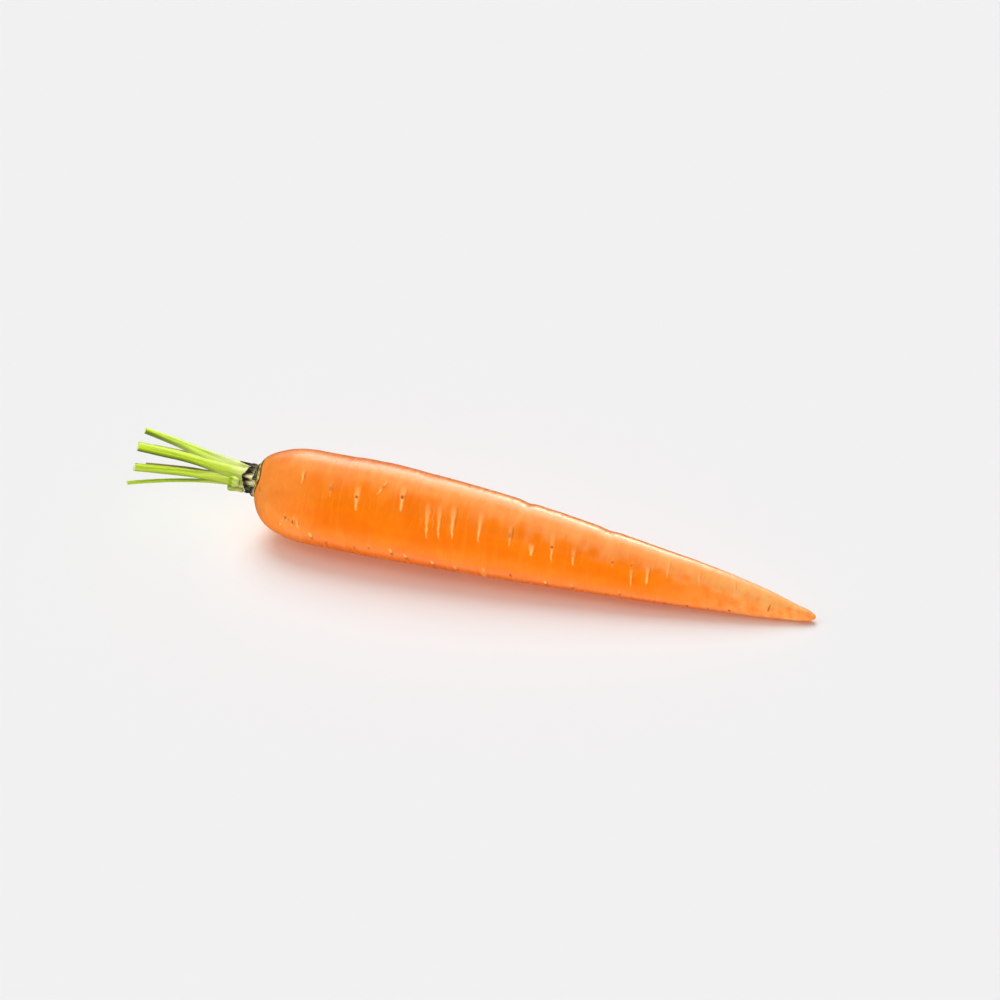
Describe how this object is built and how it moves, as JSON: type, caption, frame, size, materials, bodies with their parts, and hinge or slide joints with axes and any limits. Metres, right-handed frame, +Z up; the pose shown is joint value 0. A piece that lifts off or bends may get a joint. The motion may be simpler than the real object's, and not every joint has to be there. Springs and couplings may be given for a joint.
{
  "type": "carrot",
  "caption": "Fresh tapering carrot lying on its side, with a short crown and its leaf stalks cut close to the shoulder.",
  "frame": {"origin": "on the surface that the carrot lies on, under the middle of its bounding box", "axes": "+X along the carrot from the cut stalks to the tip, +Z up from the surface it lies on, +Y to the side away from the root's bow"},
  "size_m": [0.246, 0.0334, 0.0327],
  "materials": {
    "root_skin": "satin",
    "crown_stem": "satin",
    "leaf_stalk": "satin",
    "dry_scale": "matte"
  },
  "bodies": {
    "root": {"root": "root_skin", "crown": "crown_stem", "stalk_1": "leaf_stalk", "stalk_2": "leaf_stalk", "stalk_3": "leaf_stalk", "stalk_4": "leaf_stalk", "stalk_5": "leaf_stalk", "stalk_6": "leaf_stalk", "stalk_stub": "leaf_stalk", "side_bud": "leaf_stalk", "tall_scale_1": "dry_scale", "tall_scale_2": "dry_scale", "tall_scale_3": "dry_scale", "tall_scale_4": "dry_scale", "short_scale_1": "dry_scale", "short_scale_2": "dry_scale", "short_scale_3": "dry_scale", "short_scale_4": "dry_scale"}
  },
  "joints": []
}
